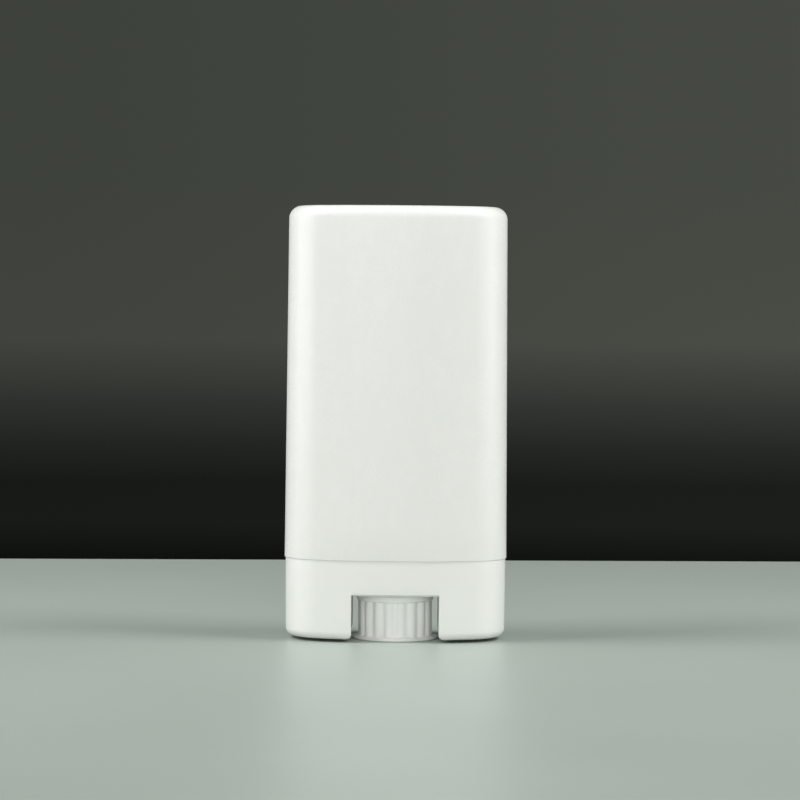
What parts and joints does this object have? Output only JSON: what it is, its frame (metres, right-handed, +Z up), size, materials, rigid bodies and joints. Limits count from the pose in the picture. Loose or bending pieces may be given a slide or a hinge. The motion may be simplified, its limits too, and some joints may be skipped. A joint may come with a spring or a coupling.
{
  "type": "twist-up cosmetic tube",
  "caption": "Oval twist-up stick pack with a tall pull-off cap and a ribbed thumb wheel in its base that raises an inner platform.",
  "frame": {"origin": "centre of the closed pack's base, on the surface that it stands on", "axes": "+Z up the pack along the spindle, +X along the width of the oval, +Y through the depth, towards the back window"},
  "size_m": [0.053, 0.028, 0.103],
  "materials": {
    "cap_plastic": "satin gloss",
    "barrel_plastic": "satin gloss",
    "wheel_plastic": "satin gloss",
    "elevator_plastic": "satin"
  },
  "bodies": {
    "barrel": {"barrel": "barrel_plastic"},
    "cap": {"cap": "cap_plastic"},
    "wheel": {"wheel_spindle": "wheel_plastic"},
    "elevator": {"elevator": "elevator_plastic"}
  },
  "joints": [
    {"name": "cap_lift", "type": "slide", "parent": "barrel", "child": "cap", "axis": [0, 0, 1], "range_m": [0, 0.08]},
    {"name": "wheel_turn", "type": "hinge", "parent": "barrel", "child": "wheel", "pos_m": [0, 0, 0], "axis": [0, 0, 1], "range_deg": [0, 4680]},
    {"name": "elevator_rise", "type": "slide", "parent": "barrel", "child": "elevator", "axis": [0, 0, 1], "range_m": [0, 0.065]}
  ],
  "couplings": [
    {"joint": "wheel_turn", "follows": "elevator_rise", "rad_per_m": 1256.6}
  ]
}
